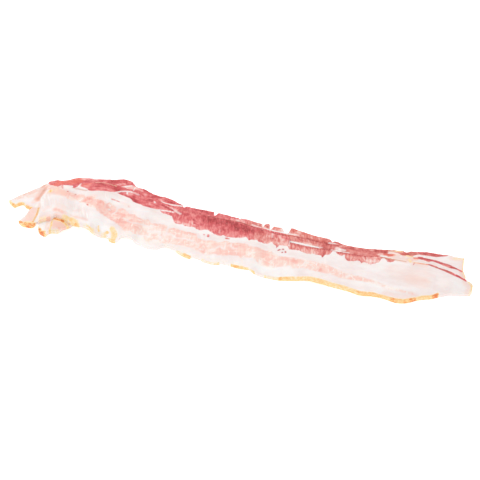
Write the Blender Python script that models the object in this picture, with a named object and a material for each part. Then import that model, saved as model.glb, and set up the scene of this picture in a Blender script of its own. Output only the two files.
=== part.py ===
"""Three rashers of raw smoked streaky bacon, lying in a shingled stack.

The slab is sliced thin, so each rasher is one limp sheet: smoked rind along its near edge,
bands of fat and lean, and the red lean along its far edge. The rashers lie on each other,
each one shifted towards -Y from the one below, flat on the table for most of their length.
At the left the stack is ruffled, and its ends splay out like fingers.

X runs along the rashers, Y from the rind edge to the lean edge, Z up. The origin is at the
middle of the stack's footprint, on the table. Plan outlines are in millimetres.
"""

from collections import namedtuple

import bmesh
import bpy
import numpy as np

MM = 0.001

# The slicer's setting, and how the rashers lie on each other
SLICE_THICKNESS = 1.9
AIR_GAP = 0.4
DROOP_REACH = 8.0  # how far a limp rasher reaches before it is down by one thickness
EDGE_MARGIN = 0.8  # an upper rasher stays level this far past the edge that carries it
BRIDGED_BAY = (-4.0, -2.0, 0.0, 2.0, 4.0)  # a bay in the edge this wide is spanned
END_REACH = 34.0  # over this length an end's slant straightens out
STEEPEST_STRETCH = 1.5  # a cap on how thick a sloping sheet measures, straight up
NICKS_FELT_FROM = 0.7  # share of the width past which the rows bend in at a nick
PLAN_CENTRE = (-4.2, -0.4)  # middle of the footprint, as the outlines are measured

# How fine the sheets are
FINE_STEP = 2.5  # along the ruffled left third
COARSE_STEP = 4.6  # along the flat part
RUFFLED_UP_TO = -52.0
ROWS_ACROSS = 11

# Outlines in plan: (x, y) along the two long edges, and (share of the width, x) at the ends
Rasher = namedtuple("Rasher", "name rind lean left_end right_end nicks colour roughness")
Nick = namedtuple("Nick", "x mouth root depth")  # a split in the lean edge
Fold = namedtuple("Fold", "x_rind x_lean left_flank right_flank y_rind height_rind height_lean")

BACK = Rasher(
    name="rasher_back",
    rind=[(-158, -1), (-152, -3), (-148, 2), (-141, -1.5), (-133, -9), (-120, -13), (-100, -9),
          (-60, -8), (-20, -13), (20, -17), (40, -20), (80, -20), (120, -15), (142, -9)],
    lean=[(-158, 2), (-152.5, 10.5), (-144.4, 21.8), (-139, 29), (-134, 28.5), (-130, 26.8),
          (-127, 27.7), (-119.6, 34.2), (-115, 35.2), (-107, 34.7), (-101.5, 33.8), (-97, 34.2),
          (-88, 39.2), (-85.6, 39.2), (-79.6, 35), (-76, 35), (-63, 31.2), (-59, 31.8),
          (-54, 30.6), (-48, 27.4), (-44, 25.8), (-18, 23.2), (-8, 21.4), (-1.4, 21.2),
          (10, 18.8), (24, 17.6), (28.6, 18.9), (36, 17), (47, 14.2), (54, 13.4), (58, 11.6),
          (68, 9.2), (78, 9), (95.6, 11.8), (107.6, 13.2), (120, 15.2), (131, 14.8),
          (135, 13.6), (140, 14.2)],
    left_end=[(0, -152), (0.06, -153.5), (0.17, -155.2), (0.4, -156.9), (1, -158)],
    right_end=[(0, 142.5), (1, 140.5)],
    nicks=[Nick(-44.3, 2.6, 0.7, 2.0), Nick(-22.2, 2.8, 0.9, 4.0), Nick(-5.5, 0.9, 0.4, 1.4),
           Nick(11, 1.2, 0.7, 4.5), Nick(16.4, 3.0, 0.7, 4.6), Nick(26.7, 4.2, 2.6, 5.0),
           Nick(105, 5.0, 0.8, 1.6)],
    colour=(0.66, 0.26, 0.24),
    roughness=0.45,
)
MIDDLE = Rasher(
    name="rasher_middle",
    rind=[(-143, -19), (-138.5, -22), (-132.5, -22), (-130.3, -18), (-129, -19), (-127, -25),
          (-123.5, -28), (-120.5, -29), (-118.5, -24.8), (-113, -22.5), (-109, -19.2),
          (-105, -15.5), (-60, -15), (-20, -20), (20, -24), (40, -26), (100, -28), (120, -23),
          (144, -13)],
    lean=[(-143, 8), (-131, 13), (-125, 17.5), (-112, 22), (-101, 25.5), (-88, 27), (-78, 26.5),
          (-62, 23), (-44, 19.5), (-10, 14), (8, 11), (30, 8), (52, 5), (70, 2.5), (80, 3),
          (103, 4.5), (111, 3.5), (120, 5), (132, 1), (144, -4)],
    left_end=[(0, -143), (0.28, -141), (0.5, -138.5), (1, -133)],
    right_end=[(0, 143), (0.5, 144.5), (1, 142.5)],
    nicks=[],
    colour=(0.78, 0.42, 0.38),
    roughness=0.42,
)
FRONT = Rasher(
    name="rasher_front",
    rind=[(-129, -20), (-121, -19), (-117, -16.5), (-112, -17), (-103, -19), (-99, -17.8),
          (-92, -20.6), (-82, -22), (-76, -24), (-72.5, -20.5), (-67, -20), (-57, -22.5),
          (-49, -23), (-43, -21.5), (-35, -25), (-25, -28), (6, -30), (14, -32), (18, -34.7),
          (38, -34.3), (52, -32.5), (83, -36.5), (100, -37.5), (107, -40), (112, -39),
          (121, -32), (134, -27.5), (149, -21.3)],
    lean=[(-137, 5), (-132, 8), (-127.5, 11), (-123.5, 14.5), (-117, 14.5), (-112.5, 21),
          (-100, 22.5), (-79, 22.7), (-66, 19.5), (-44, 14.5), (-20, 11.3), (-3, 10.7),
          (13, 5.3), (31.5, 2), (32.8, -3), (60, -5), (82, -5.5), (90, -3.5), (105, -4),
          (121, -3.5), (131, -7.5), (146.2, -13.9), (149, -13.3)],
    left_end=[(0, -128.5), (0.35, -130.5), (0.65, -133.5), (0.87, -134.8), (1, -131)],
    right_end=[(0, 148.5), (0.5, 149.7), (0.85, 149.6), (1, 148.4)],
    nicks=[Nick(109.5, 3.0, 0.8, 1.5)],
    colour=(0.86, 0.68, 0.63),
    roughness=0.38,
)
STACK = (BACK, MIDDLE, FRONT)  # from the table up

# Ruffles that run across the whole stack. Each has the height of its crest at the rind's side,
# where the crest ends at y_rind and runs out to the table, and at the lean side.
FOLDS = (
    Fold(-117.5, -129, 15, 14, -19, 4.2, 3.0),
    Fold(-99, -97, 12, 14, -20, 3.2, 1.5),
    Fold(-104, -101, 48, 46, -20, 0.0, 5.0),
    Fold(-69, -64, 8, 9, -20, 1.8, 0.6),
    Fold(14, 10, 9, 9, -33, 1.5, 0.0),
    Fold(137, 134, 10, 10, -27, 1.2, 0.4),
)
FOLD_RUNOUT = 8.0
FOLD_LEAN_Y = 25.0


def through(points, at):
    """A smooth curve through the points that never swings past them: a monotone cubic."""
    x, y = np.array(points, float).T
    step, rise = np.diff(x), np.diff(y)
    slope = rise / step
    tangent = np.zeros_like(y)
    same_way = slope[:-1] * slope[1:] > 0
    weight_a, weight_b = 2 * step[1:] + step[:-1], step[1:] + 2 * step[:-1]
    with np.errstate(divide="ignore", invalid="ignore"):
        harmonic = (weight_a + weight_b) / (weight_a / slope[:-1] + weight_b / slope[1:])
    tangent[1:-1] = np.where(same_way, harmonic, 0.0)
    tangent[0], tangent[-1] = slope[0], slope[-1]
    at = np.clip(at, x[0], x[-1])
    i = np.clip(np.searchsorted(x, at, side="right") - 1, 0, len(step) - 1)
    t = (at - x[i]) / step[i]
    return (y[i] * (1 + 2 * t) * (1 - t) ** 2 + y[i + 1] * t**2 * (3 - 2 * t)
            + step[i] * t * (1 - t) * (tangent[i] * (1 - t) - tangent[i + 1] * t))


def ease(t):
    """From 0 to 1, level at both ends."""
    t = np.clip(t, 0, 1)
    return t * t * (3 - 2 * t)


def nick_depth(rasher, x):
    """How far the lean edge is cut back at x."""
    depth = np.zeros_like(x)
    for nick in rasher.nicks:
        side = (nick.mouth / 2 - np.abs(x - nick.x)) / ((nick.mouth - nick.root) / 2)
        depth = np.maximum(depth, nick.depth * np.clip(side, 0, 1))
    return depth


def lift(x, y):
    """Height of the ruffles over the table."""
    height = np.zeros(np.broadcast(x, y).shape)
    for fold in FOLDS:
        toward_lean = np.clip((y - fold.y_rind) / (FOLD_LEAN_Y - fold.y_rind), 0, 1)
        crest_x = fold.x_rind + (fold.x_lean - fold.x_rind) * toward_lean
        crest = fold.height_rind + (fold.height_lean - fold.height_rind) * ease(toward_lean)
        flank = np.where(x < crest_x, fold.left_flank, fold.right_flank)
        away = np.clip((x - crest_x) / flank, -1, 1)
        runout = 1 - ease((fold.y_rind - y) / FOLD_RUNOUT)
        height = height + crest * runout * (1 + np.cos(np.pi * away)) / 2
    return height


def stretch(x, y):
    """A sheet on a slope is this much thicker, measured straight up."""
    d = 0.5
    slope_x = (lift(x + d, y) - lift(x - d, y)) / (2 * d)
    slope_y = (lift(x, y + d) - lift(x, y - d)) / (2 * d)
    return np.minimum(np.sqrt(1 + slope_x**2 + slope_y**2), STEEPEST_STRETCH)


def cover(rasher, x, y):
    """1 over the rasher, falling to 0 a droop's reach beyond its outline."""
    bays = [x + reach for reach in BRIDGED_BAY]
    rind = np.min([through(rasher.rind, near) for near in bays], axis=0)
    lean = np.max([through(rasher.lean, near) for near in bays], axis=0)
    share = np.clip((y - rind) / (lean - rind), 0, 1)
    beyond_side = np.maximum(rind - y, y - lean)
    beyond_end = np.maximum(through(rasher.left_end, share) - x,
                            x - through(rasher.right_end, share))
    beyond = np.maximum(beyond_side, beyond_end) - EDGE_MARGIN
    return 1 - ease(beyond / DROOP_REACH)


def underside(level, x, y):
    """Height of the lower face of the rasher at that level of the stack."""
    pitch = (SLICE_THICKNESS + AIR_GAP) * stretch(x, y)
    return lift(x, y) + pitch * sum(cover(below, x, y) for below in STACK[:level])


def stations(rasher):
    """Distances along the rasher at which its grid has a row of points."""
    start, end = rasher.left_end[0][1], rasher.right_end[0][1]
    fine = np.arange(start, RUFFLED_UP_TO, FINE_STEP)
    coarse = np.linspace(fine[-1], end, round((end - fine[-1]) / COARSE_STEP) + 1)[1:]
    at_nicks = [nick.x + side * width / 2
                for nick in rasher.nicks for side in (-1, 1) for width in (nick.mouth, nick.root)]
    plain = [x for x in np.concatenate([fine, coarse])
             if all(abs(x - other) > FINE_STEP / 3 for other in at_nicks)]
    return np.sort(np.array(plain + at_nicks))


def plan(rasher):
    """Grid of x and y: one row of points across the rasher for each station."""
    along = stations(rasher)[:, None]
    share = np.linspace(0, 1, ROWS_ACROSS + 1)[None, :]
    left, right = along[0, 0], along[-1, 0]
    fade_left = np.clip(1 - (along - left) / END_REACH, 0, 1) ** 2
    fade_right = np.clip(1 - (right - along) / END_REACH, 0, 1) ** 2
    x = (along + (through(rasher.left_end, share) - left) * fade_left
         + (through(rasher.right_end, share) - right) * fade_right)
    rind, lean = through(rasher.rind, x), through(rasher.lean, x)
    pulled_back = nick_depth(rasher, x) * ease((share - NICKS_FELT_FROM) / (1 - NICKS_FELT_FROM))
    return x, rind + (lean - rind) * share - pulled_back


def raw_meat(rasher):
    material = bpy.data.materials.new(rasher.name + "_meat")
    material.use_nodes = True
    shader = material.node_tree.nodes["Principled BSDF"]
    shader.inputs["Base Color"].default_value = (*rasher.colour, 1)
    shader.inputs["Roughness"].default_value = rasher.roughness
    shader.inputs["Metallic"].default_value = 0.0
    return material


def sheet(level, rasher):
    """The rasher as one closed solid: an upper grid, a lower grid and a wall round them."""
    x, y = plan(rasher)
    low = underside(level, x, y)
    high = low + SLICE_THICKNESS * stretch(x, y)
    x, y = x - PLAN_CENTRE[0], y - PLAN_CENTRE[1]
    mesh = bmesh.new()
    upper, lower = (
        [[mesh.verts.new((x[i, j] * MM, y[i, j] * MM, z[i, j] * MM)) for j in range(x.shape[1])]
         for i in range(x.shape[0])]
        for z in (high, low)
    )
    last_i, last_j = x.shape[0] - 1, x.shape[1] - 1
    for i in range(last_i):
        for j in range(last_j):
            mesh.faces.new((upper[i][j], upper[i + 1][j], upper[i + 1][j + 1], upper[i][j + 1]))
            mesh.faces.new((lower[i][j], lower[i][j + 1], lower[i + 1][j + 1], lower[i + 1][j]))
    outline = ([(i, 0) for i in range(last_i)] + [(last_i, j) for j in range(last_j)]
               + [(i, last_j) for i in range(last_i, 0, -1)] + [(0, j) for j in range(last_j, 0, -1)])
    for (i, j), (k, m) in zip(outline, outline[1:] + outline[:1]):
        mesh.faces.new((upper[i][j], lower[i][j], lower[k][m], upper[k][m]))
    bmesh.ops.triangulate(mesh, faces=mesh.faces)
    data = bpy.data.meshes.new(rasher.name)
    mesh.to_mesh(data)
    mesh.free()
    data.materials.append(raw_meat(rasher))
    data.shade_smooth()
    data.set_sharp_from_angle(angle=np.radians(50))
    made = bpy.data.objects.new(rasher.name, data)
    bpy.context.scene.collection.objects.link(made)
    return made


for leftover in list(bpy.data.objects):
    bpy.data.objects.remove(leftover)
for level, rasher in enumerate(STACK):
    sheet(level, rasher)
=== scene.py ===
"""Looks of a shingled stack of three raw smoked streaky bacon rashers.

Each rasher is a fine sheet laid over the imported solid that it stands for. Outlines and heights
are in millimetres in plan, as the solids' are; meshes are in metres.
"""

import math
from collections import namedtuple

import bpy
import numpy as np
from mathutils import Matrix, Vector


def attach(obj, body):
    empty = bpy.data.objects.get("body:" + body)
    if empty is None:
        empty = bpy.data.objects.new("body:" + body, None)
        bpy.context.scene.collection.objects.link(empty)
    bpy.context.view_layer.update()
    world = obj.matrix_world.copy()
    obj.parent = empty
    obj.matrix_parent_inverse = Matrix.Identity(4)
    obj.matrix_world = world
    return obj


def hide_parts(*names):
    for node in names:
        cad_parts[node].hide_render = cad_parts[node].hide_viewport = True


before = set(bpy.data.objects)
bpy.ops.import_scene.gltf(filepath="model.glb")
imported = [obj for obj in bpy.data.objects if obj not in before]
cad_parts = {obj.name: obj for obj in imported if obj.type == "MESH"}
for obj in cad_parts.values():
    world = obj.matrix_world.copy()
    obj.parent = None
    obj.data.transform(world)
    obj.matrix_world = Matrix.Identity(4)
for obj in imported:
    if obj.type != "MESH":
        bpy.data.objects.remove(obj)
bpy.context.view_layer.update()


# ---------------------------------------------------------------------------------------------
# The lowest rasher: a slice of cured pork belly, with the smoked skin on its near edge, bands of
# fat and lean, and the thick red muscle along its far edge, which is split into blocks. It lies
# flat on the table, but for the ruffles at the left.

MM = 0.001
SLICE_THICKNESS = 1.9
AIR_GAP = 0.4  # between one slice and the next, as between the solids
DROOP_REACH = 8.0  # past the edge of a slice below, where the one above comes down
EDGE_MARGIN = 0.8  # past that edge, where the one above still lies level
BRIDGED_BAY = (-4.0, -2.0, 0.0, 2.0, 4.0)  # to each side: a narrower bay is spanned
END_REACH = 34.0  # over which the columns of the grid turn to follow a slanting end
SLOPE_STEP = 0.5
STEEPEST_STRETCH = 1.5
NICKS_FELT_FROM = 0.7  # share of the width where the grid starts to give way to the splits
PLAN_CENTRE = (-4.2, -0.4)  # middle of the footprint, as the outlines are measured
COLUMNS, ROWS = 560, 68  # of the sheet's grid: a face is about 0.55 mm each way

# Of the outlines, rind and lean are x and y along the long edges. An end is a share of the
# width, counted from the rind, and x there.
Rasher = namedtuple("Rasher", "name rind lean left_end right_end nicks")
Nick = namedtuple("Nick", "x mouth root depth")  # a split in the lean edge
Fold = namedtuple("Fold", "x_rind x_lean left_flank right_flank y_rind height_rind height_lean")

FOLDS = (
    Fold(-117.5, -129, 15, 14, -19, 4.2, 3.0),  # the arch at the left end
    Fold(-99, -97, 12, 14, -20, 3.2, 1.5),
    Fold(-104, -101, 48, 46, -20, 0.0, 5.0),  # the long swell under the lean edge
    Fold(-69, -64, 8, 9, -20, 1.8, 0.6),
    Fold(14, 10, 9, 9, -33, 1.5, 0.0),
    Fold(137, 134, 10, 10, -27, 1.2, 0.4),
)
FOLD_RUNOUT = 8.0  # past the rind, where a fold dies away
FOLD_LEAN_Y = 25.0  # where a fold's crest is as its values for the lean edge say

BACK = Rasher(
    name="rasher_back",
    rind=[
        (-158, -1), (-152, -3), (-150.2, -0.6), (-148, 1.4), (-146.4, 0.2), (-144.2, -1.8),
        (-141.8, -2.6), (-139.5, -2.9), (-133, -9), (-120, -13), (-100, -9), (-60, -8), (-20, -13),
        (20, -17), (40, -20), (80, -20), (120, -15), (142, -9),
    ],
    lean=[
        (-158, 2), (-152.5, 10.5), (-144.4, 21.8), (-139, 29), (-134, 28.5), (-130, 26.8),
        (-127, 27.7), (-119.6, 34.2), (-115, 35.2), (-107, 34.7), (-101.5, 33.8), (-97, 34.2),
        (-88, 39.2), (-85.6, 39.2), (-79.6, 35), (-76, 35), (-63, 31.2), (-59, 31.8), (-54, 30.6),
        (-48, 27.4), (-44, 25.8), (-18, 23.2), (-8, 21.4), (-1.4, 21.2), (10, 18.8), (12.2, 19),
        (13.4, 19.7), (14.8, 19.3), (16.6, 18.3), (24, 17.6), (28.6, 18.9), (36, 17), (47, 14.2),
        (54, 13.4), (56.4, 12.2), (57.7, 10.4), (58.8, 11.8), (68, 9.2), (78, 9), (95.6, 11.8),
        (107.6, 13.2), (120, 15.2), (131, 14.8), (135, 13.6), (140, 14.2),
    ],
    left_end=[(0, -152), (0.06, -153.5), (0.17, -155.2), (0.4, -156.9), (1, -158)],
    right_end=[(0, 142.5), (1, 140.5)],
    nicks=[
        Nick(-140.8, 2.4, 0.5, 2.0), Nick(-44.3, 2.6, 0.7, 2.0), Nick(-22.2, 2.8, 0.9, 4.0),
        Nick(-5.5, 0.9, 0.4, 1.4), Nick(11, 1.2, 0.7, 4.5), Nick(16.4, 3.0, 0.7, 4.6),
        Nick(25.8, 4.6, 0.4, 4.0), Nick(27.2, 3.2, 2.8, 5.6), Nick(105, 5.0, 0.8, 1.4),
    ],
)


def through(points, at):
    """A smooth curve through the points that never swings past them: a monotone cubic."""
    x, y = np.array(points, float).T
    step, rise = np.diff(x), np.diff(y)
    slope = rise / step
    tangent = np.zeros_like(y)
    same_way = slope[:-1] * slope[1:] > 0
    weight_a, weight_b = 2 * step[1:] + step[:-1], step[1:] + 2 * step[:-1]
    with np.errstate(divide="ignore", invalid="ignore"):
        harmonic = (weight_a + weight_b) / (weight_a / slope[:-1] + weight_b / slope[1:])
    tangent[1:-1] = np.where(same_way, harmonic, 0.0)
    tangent[0], tangent[-1] = slope[0], slope[-1]
    at = np.clip(at, x[0], x[-1])
    i = np.clip(np.searchsorted(x, at, side="right") - 1, 0, len(step) - 1)
    t = (at - x[i]) / step[i]
    return (y[i] * (1 + 2 * t) * (1 - t) ** 2 + y[i + 1] * t**2 * (3 - 2 * t)
            + step[i] * t * (1 - t) * (tangent[i] * (1 - t) - tangent[i + 1] * t))


def ease(t):
    """From 0 to 1, level at both ends."""
    t = np.clip(t, 0, 1)
    return t * t * (3 - 2 * t)


def nick_depth(rasher, x):
    """How far the lean edge is cut back at x."""
    depth = np.zeros_like(x)
    for nick in rasher.nicks:
        side = (nick.mouth / 2 - np.abs(x - nick.x)) / ((nick.mouth - nick.root) / 2)
        depth = np.maximum(depth, nick.depth * np.clip(side, 0, 1))
    return depth


def lift(x, y):
    """Height of the ruffles over the table."""
    height = np.zeros(np.broadcast(x, y).shape)
    for fold in FOLDS:
        toward_lean = np.clip((y - fold.y_rind) / (FOLD_LEAN_Y - fold.y_rind), 0, 1)
        crest_x = fold.x_rind + (fold.x_lean - fold.x_rind) * toward_lean
        crest = fold.height_rind + (fold.height_lean - fold.height_rind) * ease(toward_lean)
        flank = np.where(x < crest_x, fold.left_flank, fold.right_flank)
        away = np.clip((x - crest_x) / flank, -1, 1)
        runout = 1 - ease((fold.y_rind - y) / FOLD_RUNOUT)
        height = height + crest * runout * (1 + np.cos(np.pi * away)) / 2
    return height


def stretch(x, y):
    """A sheet on a slope is this much thicker, measured straight up."""
    d = SLOPE_STEP
    slope_x = (lift(x + d, y) - lift(x - d, y)) / (2 * d)
    slope_y = (lift(x, y + d) - lift(x, y - d)) / (2 * d)
    return np.minimum(np.sqrt(1 + slope_x**2 + slope_y**2), STEEPEST_STRETCH)


def cover(rasher, x, y):
    """1 over the rasher, falling to 0 a droop's reach beyond its outline."""
    bays = [x + reach for reach in BRIDGED_BAY]
    rind = np.min([through(rasher.rind, near) for near in bays], axis=0)
    lean = np.max([through(rasher.lean, near) for near in bays], axis=0)
    share = np.clip((y - rind) / (lean - rind), 0, 1)
    beyond_side = np.maximum(rind - y, y - lean)
    beyond_end = np.maximum(through(rasher.left_end, share) - x,
                            x - through(rasher.right_end, share))
    beyond = np.maximum(beyond_side, beyond_end) - EDGE_MARGIN
    return 1 - ease(beyond / DROOP_REACH)


def underside(below, x, y):
    """Height of the lower face of a rasher that lies on the ones below."""
    pitch = (SLICE_THICKNESS + AIR_GAP) * stretch(x, y)
    return lift(x, y) + pitch * sum(cover(rasher, x, y) for rasher in below)


LUMP_OFFSET = 500  # keeps the lumps' numbers above 0
SCATTER_X, SCATTER_Y, SCATTER_SEED, SCATTER = 127.1, 311.7, 74.7, 43758.5453


def bumps(x, y, length, width, seed):
    """Random heights from -1 to 1, smooth, in lumps of about that length and width."""
    u, v = x / length + LUMP_OFFSET, y / width + LUMP_OFFSET
    i, j = np.floor(u), np.floor(v)
    s, t = ease(u - i), ease(v - j)

    def at_corner(a, b):
        mixed = np.sin(a * SCATTER_X + b * SCATTER_Y + seed * SCATTER_SEED) * SCATTER
        return 2 * (mixed - np.floor(mixed)) - 1

    near = at_corner(i, j) * (1 - s) + at_corner(i + 1, j) * s
    far = at_corner(i, j + 1) * (1 - s) + at_corner(i + 1, j + 1) * s
    return near * (1 - t) + far * t


TOOTH = 0.22  # of the ragged cut edges, in or out
LEAN_TEETH, RIND_TEETH = 1.7, 3.1  # their spacing
TEETH_FADE = 6  # the higher, the closer the raggedness keeps to the edge
ROUNDED_EDGE, ROUNDING_STEPS, CUT_EDGE_ANGLE = 0.35, 3, 55
HEM_SAG = 0.6  # how far an edge clings down towards the slice below it
HEM_FROM, HEM_RUN = 0.9, 0.08  # where it starts to, in shares of the way to the edge


def plan(rasher, along, across):
    """x and y of the points at those shares of the rasher's length and width."""
    left, right = rasher.left_end[0][1], rasher.right_end[0][1]
    x = left + (right - left) * along
    fade_left = np.clip(1 - (x - left) / END_REACH, 0, 1) ** 2
    fade_right = np.clip(1 - (right - x) / END_REACH, 0, 1) ** 2
    x = (x + (through(rasher.left_end, across) - left) * fade_left
         + (through(rasher.right_end, across) - right) * fade_right)
    rind, lean = through(rasher.rind, x), through(rasher.lean, x)
    pulled_back = nick_depth(rasher, x) * ease((across - NICKS_FELT_FROM) / (1 - NICKS_FELT_FROM))
    teeth = np.where(across > 0.5, bumps(x, 0 * x, length=LEAN_TEETH, width=1, seed=3),
                     bumps(x, 0 * x, length=RIND_TEETH, width=1, seed=4))
    ragged = TOOTH * teeth * (2 * np.abs(across - 0.5)) ** TEETH_FADE
    return x, rind + (lean - rind) * across - pulled_back + ragged


def corners(piece):
    """The mesh's points in plan millimetres."""
    place = np.empty(len(piece.data.vertices) * 3)
    piece.data.vertices.foreach_get("co", place)
    place = place.reshape(-1, 3) / MM
    place[:, :2] += PLAN_CENTRE
    return place


def move_corners(piece, x, y, z):
    """Puts the mesh's points there."""
    place = np.stack([x - PLAN_CENTRE[0], y - PLAN_CENTRE[1], z], axis=1) * MM
    piece.data.vertices.foreach_set("co", place.ravel())
    piece.data.update()


def lay_slice(rasher, below):
    """One slice, laid on those below: a grid drawn to the outline, given its thickness and
    rounded along its cut edges."""
    bpy.ops.object.select_all(action="DESELECT")
    bpy.ops.mesh.primitive_grid_add(x_subdivisions=COLUMNS, y_subdivisions=ROWS, size=1)
    piece = bpy.context.object
    piece.name = piece.data.name = rasher.name + "_meat"
    share = np.empty(len(piece.data.vertices) * 3)
    piece.data.vertices.foreach_get("co", share)
    along, across, _ = share.reshape(-1, 3).T + 0.5
    x, y = plan(rasher, along, across)
    resting = underside(below, x, y)
    move_corners(piece, x, y, resting + SLICE_THICKNESS * stretch(x, y))

    thickness = piece.modifiers.new("thickness", "SOLIDIFY")
    thickness.thickness = SLICE_THICKNESS * MM
    thickness.offset = -1
    bpy.ops.object.modifier_apply(modifier=thickness.name)
    x, y, z = corners(piece).T
    upper, lower = slice(0, len(resting)), slice(len(resting), 2 * len(resting))
    held = np.max([cover(under, x[upper], y[upper]) for under in below] + [0 * resting], axis=0)
    clinging = HEM_SAG * ease((2 * np.abs(across - 0.5) - HEM_FROM) / HEM_RUN) * held
    x[lower], y[lower], z[lower] = x[upper], y[upper], resting - clinging
    move_corners(piece, x, y, z)

    rounding = piece.modifiers.new("rounding", "BEVEL")
    rounding.width = ROUNDED_EDGE * MM
    rounding.segments = ROUNDING_STEPS
    rounding.limit_method = "ANGLE"
    rounding.angle_limit = math.radians(CUT_EDGE_ANGLE)
    bpy.ops.object.modifier_apply(modifier=rounding.name)
    bpy.ops.object.shade_smooth()
    return piece


def down_from_top(below, x, y, z):
    """0 on a slice's upper face and 1 on its lower."""
    thickness = SLICE_THICKNESS * stretch(x, y)
    return np.clip((underside(below, x, y) + thickness - z) / thickness, 0, 1)


# What the upper face shows, in millimetres in plan. Two areas have an edge: muscle lies beyond
# muscle_edge and in its bits, less the gristle, and streak lies between its top and its foot and
# in its bits, less the seams. Bits, gristle and seams are lines with a radius, and fringe is how
# far the muscle's edge wanders. All else is shaded in by strokes, from the left: a width, a
# strength, and the points of a line. Shades are tones, lighter or darker, and also painted
# shadow: thin dark lines along cut edges that lie on a slice below. Fibres run along the rasher
# in along, and fat is pleated in wrinkle, where its creases get painted shade. Peach is stained
# warm, dried is browner lean, smoke is the amber of the skin and also, in two creases of the
# middle rasher, painted shade in that amber, pale is bare fat and gristle and, on the backs of
# folds, painted highlight, and dim is painted shadow in a crease or under an edge.
Meat = namedtuple("Meat", "muscle_edge muscle_bits gristle streak_top streak_foot streak_bits "
                  "seams fringe shades along wrinkle peach dried smoke pale dim")

STROKE_CORE = 1.5  # the higher, the more of a stroke's width is at full strength
FAR_OUTSIDE = -20.0
RELIEF_DEPTH = 0.3  # share of the thickness, down from the upper face, that the relief reaches
MUSCLE_SUNK, MUSCLE_SLOPE = 0.10, 1.6  # lean lies a little lower than the fat beside it
STREAK_SUNK, STREAK_SLOPE = 0.05, 2.0
SWELLS = ((0.09, 9, 5, 11), (0.05, 3.4, 2.2, 12))  # height, length, width and seed of the lumps
PLEAT_HEIGHT, PLEAT_LENGTH, PLEAT_WIDTH, PLEAT_SEED, PLEAT_SLANT = 0.16, 1.5, 14, 13, 0.35


def from_line(points, x, y):
    """Distance to a line through the points."""
    nearest = np.full(x.shape, np.inf)
    for (ax, ay), (bx, by) in zip(points, points[1:] or points):
        length = max((bx - ax) ** 2 + (by - ay) ** 2, 1e-9)
        t = np.clip(((x - ax) * (bx - ax) + (y - ay) * (by - ay)) / length, 0, 1)
        nearest = np.minimum(nearest, np.hypot(x - ax - t * (bx - ax), y - ay - t * (by - ay)))
    return nearest


def shaded(strokes, x, y):
    """How much colour the strokes leave: full near their lines, nothing a width away."""
    return sum((strength * ease(STROKE_CORE * (1 - from_line(points, x, y) / width))
                for width, strength, *points in strokes), np.zeros(x.shape))


def inside(lines, x, y):
    """How far inside the lines' round outlines a point is, and less than 0 outside them."""
    return np.max([radius - from_line(points, x, y) for radius, *points in lines]
                  + [np.full(x.shape, FAR_OUTSIDE)], axis=0)


def drawn_on(piece, below, meat):
    """Writes to the mesh where its lean, streaks, tones and smoke are, and gives its relief."""
    x, y, z = corners(piece).T
    muscle = np.maximum(y - through(meat.muscle_edge, x), inside(meat.muscle_bits, x, y))
    muscle = np.minimum(muscle, -inside(meat.gristle, x, y))
    streak_ends = np.minimum(x - meat.streak_top[0][0], meat.streak_top[-1][0] - x) / 2
    streak = np.min([y - through(meat.streak_foot, x), through(meat.streak_top, x) - y,
                     streak_ends], axis=0)
    streak = np.maximum(streak, inside(meat.streak_bits, x, y))
    streak = np.minimum(streak, -inside(meat.seams, x, y))
    shown = {"muscle": muscle, "streak": streak, "fringe": through(meat.fringe, x),
             "shade": 0.5 + shaded(meat.shades, x, y)}
    for name in ("along", "wrinkle", "peach", "dried", "smoke", "pale", "dim"):
        shown[name] = np.clip(shaded(getattr(meat, name), x, y), 0, 1)
    for name, values in shown.items():
        kept = piece.data.attributes.new(name, "FLOAT", "POINT")
        kept.data.foreach_set("value", values.astype(np.float32))

    sunk = (-MUSCLE_SUNK * ease(muscle / MUSCLE_SLOPE + 0.5)
            - STREAK_SUNK * ease(streak / STREAK_SLOPE + 0.5))
    swell = sum(height * bumps(x, y, *lump) for height, *lump in SWELLS)
    pleats = (PLEAT_HEIGHT * bumps(x + PLEAT_SLANT * y, y, PLEAT_LENGTH, PLEAT_WIDTH, PLEAT_SEED)
              * shaded(meat.wrinkle, x, y))
    relief = (sunk + swell + pleats) * (1 - ease(down_from_top(below, x, y, z) / RELIEF_DEPTH))
    move_corners(piece, x, y, z + relief * stretch(x, y))


def put(tree, kind, inputs=(), **settings):
    """Adds a shader node. Each of its inputs is given a value, or the socket that feeds it."""
    made = tree.nodes.new(kind)
    for key, value in settings.items():
        setattr(made, key, value)
    for key, value in dict(inputs).items():
        if isinstance(value, bpy.types.NodeSocket):
            tree.links.new(value, made.inputs[key])
        else:
            made.inputs[key].default_value = value
    return made


def new_group(name, inputs, outputs):
    """An empty node group with named sockets, and its input sockets and output node."""
    group = bpy.data.node_groups.new(name, "ShaderNodeTree")
    for socket, value in inputs.items():
        kind = "NodeSocketVector" if value is None else "NodeSocketFloat"
        made = group.interface.new_socket(socket, in_out="INPUT", socket_type=kind)
        if value is not None:
            made.default_value = value
    for socket in outputs:
        group.interface.new_socket(socket, in_out="OUTPUT", socket_type="NodeSocketFloat")
    return group, group.nodes.new("NodeGroupInput").outputs, group.nodes.new("NodeGroupOutput")


def maths(tree, operation, a, b=0.0, c=0.0, clamp=False):
    """A sum, product or the like of values and sockets."""
    return put(tree, "ShaderNodeMath", {0: a, 1: b, 2: c}, operation=operation,
               use_clamp=clamp).outputs[0]


def ranged(tree, value, low, high, to_low=0.0, to_high=1.0):
    """The value, brought smoothly from one range to another."""
    return put(tree, "ShaderNodeMapRange", {
        "Value": value, "From Min": low, "From Max": high, "To Min": to_low, "To Max": to_high},
        interpolation_type="SMOOTHSTEP").outputs[0]


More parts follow.
